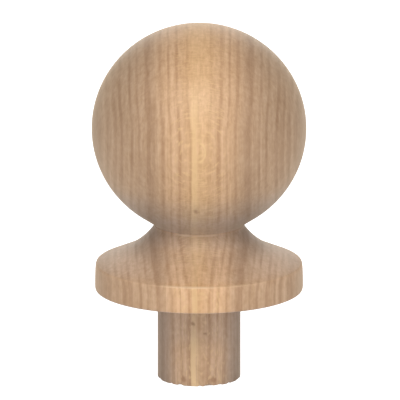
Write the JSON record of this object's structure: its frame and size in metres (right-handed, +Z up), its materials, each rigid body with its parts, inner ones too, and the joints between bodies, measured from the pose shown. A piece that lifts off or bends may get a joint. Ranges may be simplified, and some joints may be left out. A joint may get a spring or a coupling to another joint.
{
  "type": "newel cap",
  "caption": "Turned hardwood newel cap: a ball on a short neck, flaring through a cove to a disc that seats on a post, with a round spigot below for the post's bored hole.",
  "frame": {"origin": "centre of the spigot's flat lower end, which the cap stands on when it is off its post", "axes": "+Z up the turning axis, from the spigot's lower end to the top of the ball; the cap is round about Z; -Y is the side that faces the camera in the picture, and the grain's layers stand across X"},
  "size_m": [0.082, 0.082, 0.1381],
  "materials": {
    "timber": "fine-sanded pale brown hardwood with upright grain and a low natural sheen, not varnished"
  },
  "bodies": {
    "root": {"newel_cap": "timber"}
  },
  "joints": []
}
